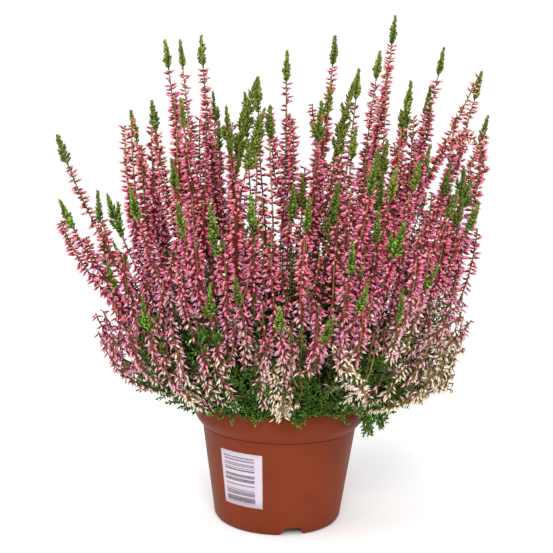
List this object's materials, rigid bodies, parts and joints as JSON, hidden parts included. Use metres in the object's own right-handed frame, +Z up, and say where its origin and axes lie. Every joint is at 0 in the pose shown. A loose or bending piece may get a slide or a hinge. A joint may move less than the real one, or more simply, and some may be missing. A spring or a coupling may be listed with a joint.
{
  "type": "potted heather",
  "caption": "Bushy flowering heather with upright pink bud sprays and green tips, standing in soil in a round tapered plastic nursery pot with a rounded rim band.",
  "frame": {"origin": "centre of the pot's foot, on the surface it stands on", "axes": "+Z up along the pot's axis, +X to the viewer's right seen from the front, +Y away from the viewer"},
  "size_m": [0.2686, 0.2382, 0.316],
  "materials": {
    "pot": "moulded terracotta-brown plastic, satin",
    "soil": "damp peat, matt and crumbly",
    "flower": "waxy closed buds, deep pink fading to cream",
    "green_tip": "fresh scale leaves, yellow-green",
    "foliage": "small scale leaves, mid green"
  },
  "bodies": {
    "root": {"pot": "pot", "soil": "soil", "branch_left_front": "flower", "branch_left": "flower", "branch_left_tall": "flower", "branch_front_left": "flower", "branch_centre": "flower", "branch_front_centre": "flower", "branch_centre_right": "flower", "branch_front_right": "flower", "branch_right_front": "flower", "branch_right_tall": "flower", "branch_right": "flower", "branch_back_left": "flower", "branch_back_right": "flower", "green_tip_left_front_1": "green_tip", "green_tip_left_front_2": "green_tip", "green_tip_left_front_3": "green_tip", "green_tip_left_1": "green_tip", "green_tip_left_2": "green_tip", "green_tip_left_3": "green_tip", "green_tip_left_tall_1": "green_tip", "green_tip_left_tall_2": "green_tip", "green_tip_left_tall_3": "green_tip", "green_tip_front_left_1": "green_tip", "green_tip_front_left_2": "green_tip", "green_tip_centre_1": "green_tip", "green_tip_centre_2": "green_tip", "green_tip_centre_3": "green_tip", "green_tip_centre_4": "green_tip", "green_tip_centre_5": "green_tip", "green_tip_front_centre_1": "green_tip", "green_tip_front_centre_2": "green_tip", "green_tip_front_centre_3": "green_tip", "green_tip_centre_right_1": "green_tip", "green_tip_centre_right_2": "green_tip", "green_tip_centre_right_3": "green_tip", "green_tip_front_right_1": "green_tip", "green_tip_front_right_2": "green_tip", "green_tip_front_right_3": "green_tip", "green_tip_right_front_1": "green_tip", "green_tip_right_front_2": "green_tip", "green_tip_right_front_3": "green_tip", "green_tip_right_tall_1": "green_tip", "green_tip_right_tall_2": "green_tip", "green_tip_right_tall_3": "green_tip", "green_tip_right_1": "green_tip", "green_tip_right_2": "green_tip", "green_tip_right_3": "green_tip", "green_tip_right_4": "green_tip", "green_tip_back_left_1": "green_tip", "green_tip_back_left_2": "green_tip", "green_tip_back_right_1": "green_tip", "green_tip_back_right_2": "green_tip", "leafy_bunch_1": "foliage", "leafy_bunch_2": "foliage", "leafy_bunch_3": "foliage", "leafy_bunch_4": "foliage", "leafy_bunch_5": "foliage", "leafy_bunch_6": "foliage"}
  },
  "joints": []
}
